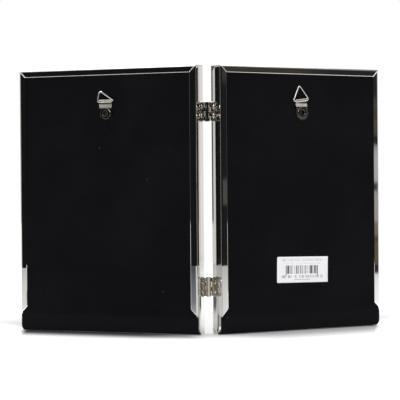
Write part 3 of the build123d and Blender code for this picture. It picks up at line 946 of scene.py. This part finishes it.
@dataclass(frozen=True)
class TableTop:
    """The round white table, in metres and degrees: camera and mirrors each see it in their own tones, with
    painted shadow and glow for the camera and painted reflections for mirrors.
    """

    radius: float = 1.25
    segments: int = 96
    white: Colour = (0.86, 0.86, 0.86)
    shaded: Colour = (0.56, 0.56, 0.56)
    # Painted shadow: the near-black the camera sees on the table just behind the left frame's foot.
    painted_contact_shadow: Colour = (0.05, 0.05, 0.052)
    painted_shadow_depth: Span = (-0.02, 0.028)
    painted_shadow_blur: float = 0.016
    # Painted reflections: pale, slate, bright, end and front are tones that only mirrors see on the table.
    pale: Colour = (0.62, 0.615, 0.605)
    slate: Tuple[Stop, ...] = ((0.2, (0.30, 0.305, 0.31)), (0.36, (0.16, 0.165, 0.178)),
                               (0.88, (0.085, 0.09, 0.10)))
    slate_centre: Span = (-0.012, -0.045)
    slate_bearings: Span = (-152.5, -114.0)
    bright: Colour = (0.86, 0.86, 0.85)
    bright_slope: float = 0.436
    bright_edge: Span = (-0.03, 0.07)
    end: Colour = (0.012, 0.012, 0.012)
    end_start: float = 0.955
    end_span: Span = (-0.48, -0.05)
    front: Colour = FRONT
    front_bearings: Span = (50.0, 134.0)
    front_reach: Span = (0.24, 0.6)
    # Painted light: a colour above white that mirrors see on the table at the frames' feet, where it lies
    # in shadow.
    foot: Colour = (1.6, 1.6, 1.58)
    painted_foot_light_depth: Span = (0.0, 0.05)
    hinge_zone: float = 0.03
    # Painted light: the table glows for the camera everywhere but near the frames' feet.
    glow: float = 0.65
    glow_depth: Span = (0.01, 0.085)
    glow_far: Span = (0.16, 0.36)
    glow_rim: Span = (0.16, 0.34)
    rim_extra: float = 0.45
    outer_end: float = 0.137
    outer_blur: float = 0.009
    outer_spread: float = 1.2
    spread_start: float = 0.06
    outer_slant: float = 0.3
    beside_glow: float = 1.35
    gap_slope: float = 0.08
    gap_start: float = -0.04
    gap_width: Span = (0.034, 0.009)
    gap_glow: float = 0.36

    def build(self) -> None:
        """Lays the table and gives it its material."""
        shape = bmesh.new()
        bmesh.ops.create_circle(shape, cap_ends=True, segments=self.segments, radius=self.radius)
        top = mesh_object("table_top", shape)
        material = bpy.data.materials.new("table_white")
        material.use_nodes = True
        top.data.materials.append(material)
        g = Graph(material.node_tree)
        camera, mirror, glass = rays(g)
        spot = self._spot(g)
        beside = self._painted_light_beside(spot)
        colour = g.mix(mirror, self.white, self._painted_reflections(g, spot))
        # Painted shadow: a dark patch on the table behind the left frame's foot, for the camera only, cut
        # away past the outer end.
        under = spot.x.rise(0.0, -0.02) * spot.behind.within(*self.painted_shadow_depth, self.painted_shadow_blur)
        colour = g.mix(camera, colour, g.mix(under * (1.0 - beside), self.shaded, self.painted_contact_shadow))
        plain = g.node("ShaderNodeBsdfDiffuse", {}, {"Color": colour})
        strength = self._lit(spot, beside) * self.glow * camera.at_least(glass)
        glow = g.node("ShaderNodeEmission", {}, {"Strength": strength})
        both = g.node("ShaderNodeAddShader", {}, {0: plain.outputs[0], 1: glow.outputs[0]})
        g.node("ShaderNodeOutputMaterial", {}, {"Surface": both.outputs[0]})

    @staticmethod
    def _spot(g: Graph) -> Spot:
        """Where on the table the surface is."""
        place = g.node("ShaderNodeTexCoord", {}, {}).outputs["Object"]
        x, y, _ = g.split(place)
        far = Tone(g, g.node("ShaderNodeVectorMath", {"operation": "LENGTH"}, {0: place}).outputs["Value"])
        panel = Panel(Side.RIGHT)
        return Spot(x, y, far, panel.reach(panel.back, x, y))

    def _painted_reflections(self, g: Graph, spot: Spot) -> bpy.types.NodeSocket:
        """Painted reflections, the tones that only mirrors see: slate left, bright right, dark ahead, and
        painted light at the feet, brighter than white where the table lies in shadow.
        """
        x, y = spot.x, spot.y
        track = (y - self.slate_centre[1]).bearing(x - self.slate_centre[0])
        slate = g.ramp(spot.far * (1 / self.radius), self.slate)
        left = g.mix(track.within(*self.slate_bearings, 2.5), self.pale, slate)
        right = g.mix((y + x * self.bright_slope).rise(*self.bright_edge), self.pale, self.bright)
        shown = g.mix(x > 0.0, left, right)
        end = (x > self.end_start) * y.within(*self.end_span, 0.005)
        shown = g.mix(end, shown, self.end)
        ahead = y.bearing(x).within(*self.front_bearings, 5.0) * spot.far.within(*self.front_reach, 0.08)
        shown = g.mix(ahead, shown, self.front)
        # Painted light at the feet: mirrors see the table there brighter than white, though it lies in the
        # frames' shadow.
        feet = spot.behind.within(*self.painted_foot_light_depth, 0.005) * (abs(x) > self.hinge_zone)
        return g.mix(feet, shown, self.foot)

    def _painted_light_beside(self, spot: Spot) -> Tone:
        """Painted light past the frames' outer ends, where the table glows to hide their shadow: one there,
        with an edge that softens towards the front.
        """
        slant = spot.behind.at_least(0.0) * self.outer_slant * (spot.x > 0.0)
        outward = abs(spot.x) + slant - self.outer_end
        blur = (spot.y - self.spread_start).at_least(0.0) * self.outer_spread + self.outer_blur
        return (outward / blur).rise(0.0, 1.0)

    def _lit(self, spot: Spot, beside: Tone) -> Tone:
        """How much the table glows for the camera: little near the feet, where the shadow stays."""
        x, y = spot.x, spot.y
        open_side = x.rise(self.hinge_zone, -self.hinge_zone) * 0.012 + abs(x).rise(0.06, 0.0) * 0.03
        lit = (spot.behind + open_side).rise(*self.glow_depth).at_least(spot.far.rise(*self.glow_far))
        lit = lit + spot.far.rise(*self.glow_rim) * self.rim_extra
        # Painted light: a glowing wedge on the table along the line of sight through the gap between the
        # frames.
        gap = abs(x - (y - self.gap_start) * self.gap_slope).rise(*self.gap_width)
        through = gap * y.rise(-0.045, -0.005) * self.gap_glow
        return lit.at_least(beside * self.beside_glow).at_least(through)


@dataclass(frozen=True)
class Card:
    """A patch of the room that mirrors see, by its bearings in degrees and its heights."""

    colour: Colour
    bearings: Span
    bearing_blur: float
    heights: Span
    height_blur: float

    def over(self, g: Graph, rest: Input, bearing: Tone, z: Tone) -> bpy.types.NodeSocket:
        """The rest of the room with this card in front of it."""
        beside = bearing.within(*self.bearings, self.bearing_blur)
        return g.mix(beside * z.within(*self.heights, self.height_blur), rest, self.colour)


SCREEN: Colour = (0.09, 0.088, 0.08)
WINDOW: Colour = (1.5, 1.5, 1.5)
SKY_CARDS = (
    Card(SCREEN, (112.0, 172.0), 0.8, (-0.0205, 0.2), 0.002),
    Card(SCREEN, (14.0, 31.0), 1.0, (-0.0205, 0.2), 0.002),
    Card(FRONT, (50.0, 106.0), 4.0, (0.08, 0.24), 0.015),
    Card(FRONT, (50.0, 106.0), 4.0, (-0.24, -0.08), 0.015),
    Card(WINDOW, (100.0, 170.0), 6.0, (0.32, 0.8), 0.05),
    Card((0.12, 0.105, 0.085), (30.0, 75.0), 5.0, (0.2, 0.5), 0.04),
)
BEAM = Card((0.075, 0.078, 0.076), (-26.6, -23.8), 0.2, (-0.0115, 0.0015), 0.001)


@dataclass(frozen=True)
class Room:
    """White to the camera, even grey to dull surfaces, and a furnished room to mirrors."""

    grey: float = 0.42
    sky: Tuple[Stop, ...] = (
        (0.0, (0.88, 0.85, 0.83)), (0.12, (0.80, 0.79, 0.78)), (0.24, (0.30, 0.30, 0.31)),
        (0.5, (0.10, 0.10, 0.11)), (0.7, (0.25, 0.25, 0.26)), (1.0, (0.75, 0.75, 0.76)))
    shelf: Tuple[Stop, ...] = (
        (0.12, (0.014, 0.012, 0.012)), (0.14, (0.12, 0.10, 0.075)), (0.24, (0.13, 0.105, 0.062)),
        (0.255, (0.05, 0.05, 0.03)), (0.275, (0.20, 0.17, 0.13)), (0.325, (0.22, 0.19, 0.15)),
        (0.335, (0.36, 0.34, 0.335)), (0.46, (0.36, 0.34, 0.335)), (0.468, (0.02, 0.02, 0.018)),
        (0.492, (0.025, 0.025, 0.022)), (0.502, (0.45, 0.45, 0.44)), (0.60, (0.46, 0.46, 0.45)),
        (0.65, (0.36, 0.36, 0.36)), (0.66, (0.015, 0.015, 0.015)), (0.69, (0.016, 0.016, 0.016)),
        (0.70, (0.075, 0.065, 0.05)), (0.76, (0.09, 0.075, 0.06)), (0.77, (0.05, 0.045, 0.038)),
        (0.84, (0.07, 0.068, 0.06)), (0.88, (0.022, 0.022, 0.022)))
    shelf_heights: Span = (-0.06, 0.06)
    shelf_bearings: Span = (-23.8, -12.0)
    header: Colour = (0.05, 0.042, 0.034)
    header_bearings: Span = (-32.0, -23.0)
    header_edge: Span = (0.05, 0.055)
    wall_left: Colour = (0.009, 0.009, 0.009)
    wall_right: Colour = (0.014, 0.014, 0.014)

    def build(self) -> None:
        """Makes the world that surrounds the table."""
        world = bpy.data.worlds.new("room")
        world.use_nodes = True
        bpy.context.scene.world = world
        g = Graph(world.node_tree)
        toward = g.node("ShaderNodeTexCoord", {}, {}).outputs["Generated"]
        x, y, z = g.split(toward)
        bearing = y.bearing(x)
        sky = g.ramp(z, self.sky)
        for card in SKY_CARDS:
            sky = card.over(g, sky, bearing, z)
        sky = g.mix(y.rise(-0.2, -0.35) * z.within(0.42, 0.92, 0.05), sky, WINDOW)
        dim = y.rise(-0.05, -0.3) * abs(z).rise(0.38, 0.28)
        mirrored = g.mix(dim, sky, self._dim_side(g, bearing, z))
        camera, mirror, _ = rays(g)
        soft = g.mix(mirror, (self.grey, self.grey, self.grey), mirrored)
        seen = g.mix(camera, soft, (1.0, 1.0, 1.0))
        light = g.node("ShaderNodeBackground", {}, {"Color": seen, "Strength": 1.0})
        g.node("ShaderNodeOutputWorld", {}, {"Surface": light.outputs[0]})

    def _dim_side(self, g: Graph, bearing: Tone, z: Tone) -> bpy.types.NodeSocket:
        """The room behind the camera: almost black, with pale shelves far to the right."""
        low, high = self.shelf_heights
        shelf = g.ramp((z - low) * (1 / (high - low)), self.shelf)
        room = g.mix((bearing + 90.0).rise(-60.0, 60.0), self.wall_left, self.wall_right)
        room = BEAM.over(g, room, bearing, z)
        room = g.mix(bearing.within(*self.shelf_bearings, 0.25), room, shelf)
        header = bearing.within(*self.header_bearings, 0.8) * z.rise(*self.header_edge)
        return g.mix(header, room, self.header)


@dataclass(frozen=True)
class Lamp:
    """A soft rectangular lamp that the camera doesn't see, in metres and watts."""

    name: str
    place: Point
    aim: Point
    size: Span
    watts: float

    def build(self) -> None:
        """Hangs the lamp."""
        lamp = bpy.data.lights.new(self.name, "AREA")
        lamp.shape = "RECTANGLE"
        lamp.size, lamp.size_y = self.size
        lamp.energy = self.watts
        hung = bpy.data.objects.new(self.name, lamp)
        turn = (Vector(self.aim) - Vector(self.place)).to_track_quat("-Z", "Y").to_matrix().to_4x4()
        hung.matrix_world = Matrix.Translation(self.place) @ turn
        hung.visible_camera = False
        bpy.context.scene.collection.objects.link(hung)


LAMPS = (
    Lamp("overhead_softbox", (0.0, 0.40, 1.4), (0.0, 0.40, 0.0), (1.5, 1.5), 24.0),
    Lamp("rear_softbox", (-0.35, -1.6, 0.95), (0.0, 0.0, 0.1), (1.0, 0.7), 12.6),
)


@dataclass(frozen=True)
class Studio:
    """White table in a dim room: the polished lips mirror the dim side, the table shows below it."""

    table: TableTop = TableTop()
    room: Room = Room()
    lamps: Tuple[Lamp, ...] = LAMPS

    def build(self) -> None:
        """Makes the table, the surroundings and the lamps."""
        self.table.build()
        self.room.build()
        for lamp in self.lamps:
            lamp.build()


@dataclass
class ViewPoint:
    """The photograph's camera: metres, radians, pixels and, for the sensor, millimetres."""

    place: Point = (-0.12198, -1.48311, 0.11445)
    yaw: float = 0.0798
    pitch: float = -0.0088
    roll: float = -0.0079
    focal_pixels: float = 1926.3
    picture: int = 400
    sensor: float = 36.0

    def build(self) -> None:
        """Sets the camera up and makes it the scene's own."""
        camera = bpy.data.cameras.new("photograph")
        camera.sensor_width = self.sensor
        camera.lens = self.focal_pixels * self.sensor / self.picture
        held = bpy.data.objects.new("photograph", camera)
        level = math.cos(self.pitch)
        ahead = Vector((math.sin(self.yaw) * level, math.cos(self.yaw) * level, math.sin(self.pitch)))
        right = Vector((math.cos(self.yaw), -math.sin(self.yaw), 0.0))
        top = right.cross(ahead)
        rolled = right * math.cos(self.roll) + top * math.sin(self.roll)
        top = top * math.cos(self.roll) - right * math.sin(self.roll)
        turn = Matrix((rolled, top, -ahead)).transposed().to_4x4()
        held.matrix_world = Matrix.Translation(self.place) @ turn
        bpy.context.scene.collection.objects.link(held)
        bpy.context.scene.camera = held


def main() -> None:
    """Builds and dresses every sub-assembly, then the studio and the camera."""
    logging.basicConfig(level=logging.INFO, format="%(name)s %(message)s")
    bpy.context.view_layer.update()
    shop = Workshop()
    for side in Side:
        panel = Panel(side)
        MetalFrame(panel).dress(shop)
        PictureStack(panel).dress(shop)
        SlideBack(panel).dress(shop)
        Hanger(panel).dress(shop)
    for place in Place:
        Hinge(place).dress(shop)
    PriceLabel(Panel(Side.RIGHT)).dress(shop)
    Studio().build()
    ViewPoint().build()
    bpy.context.scene.view_settings.view_transform = "Standard"


if __name__ == "__main__":
    main()
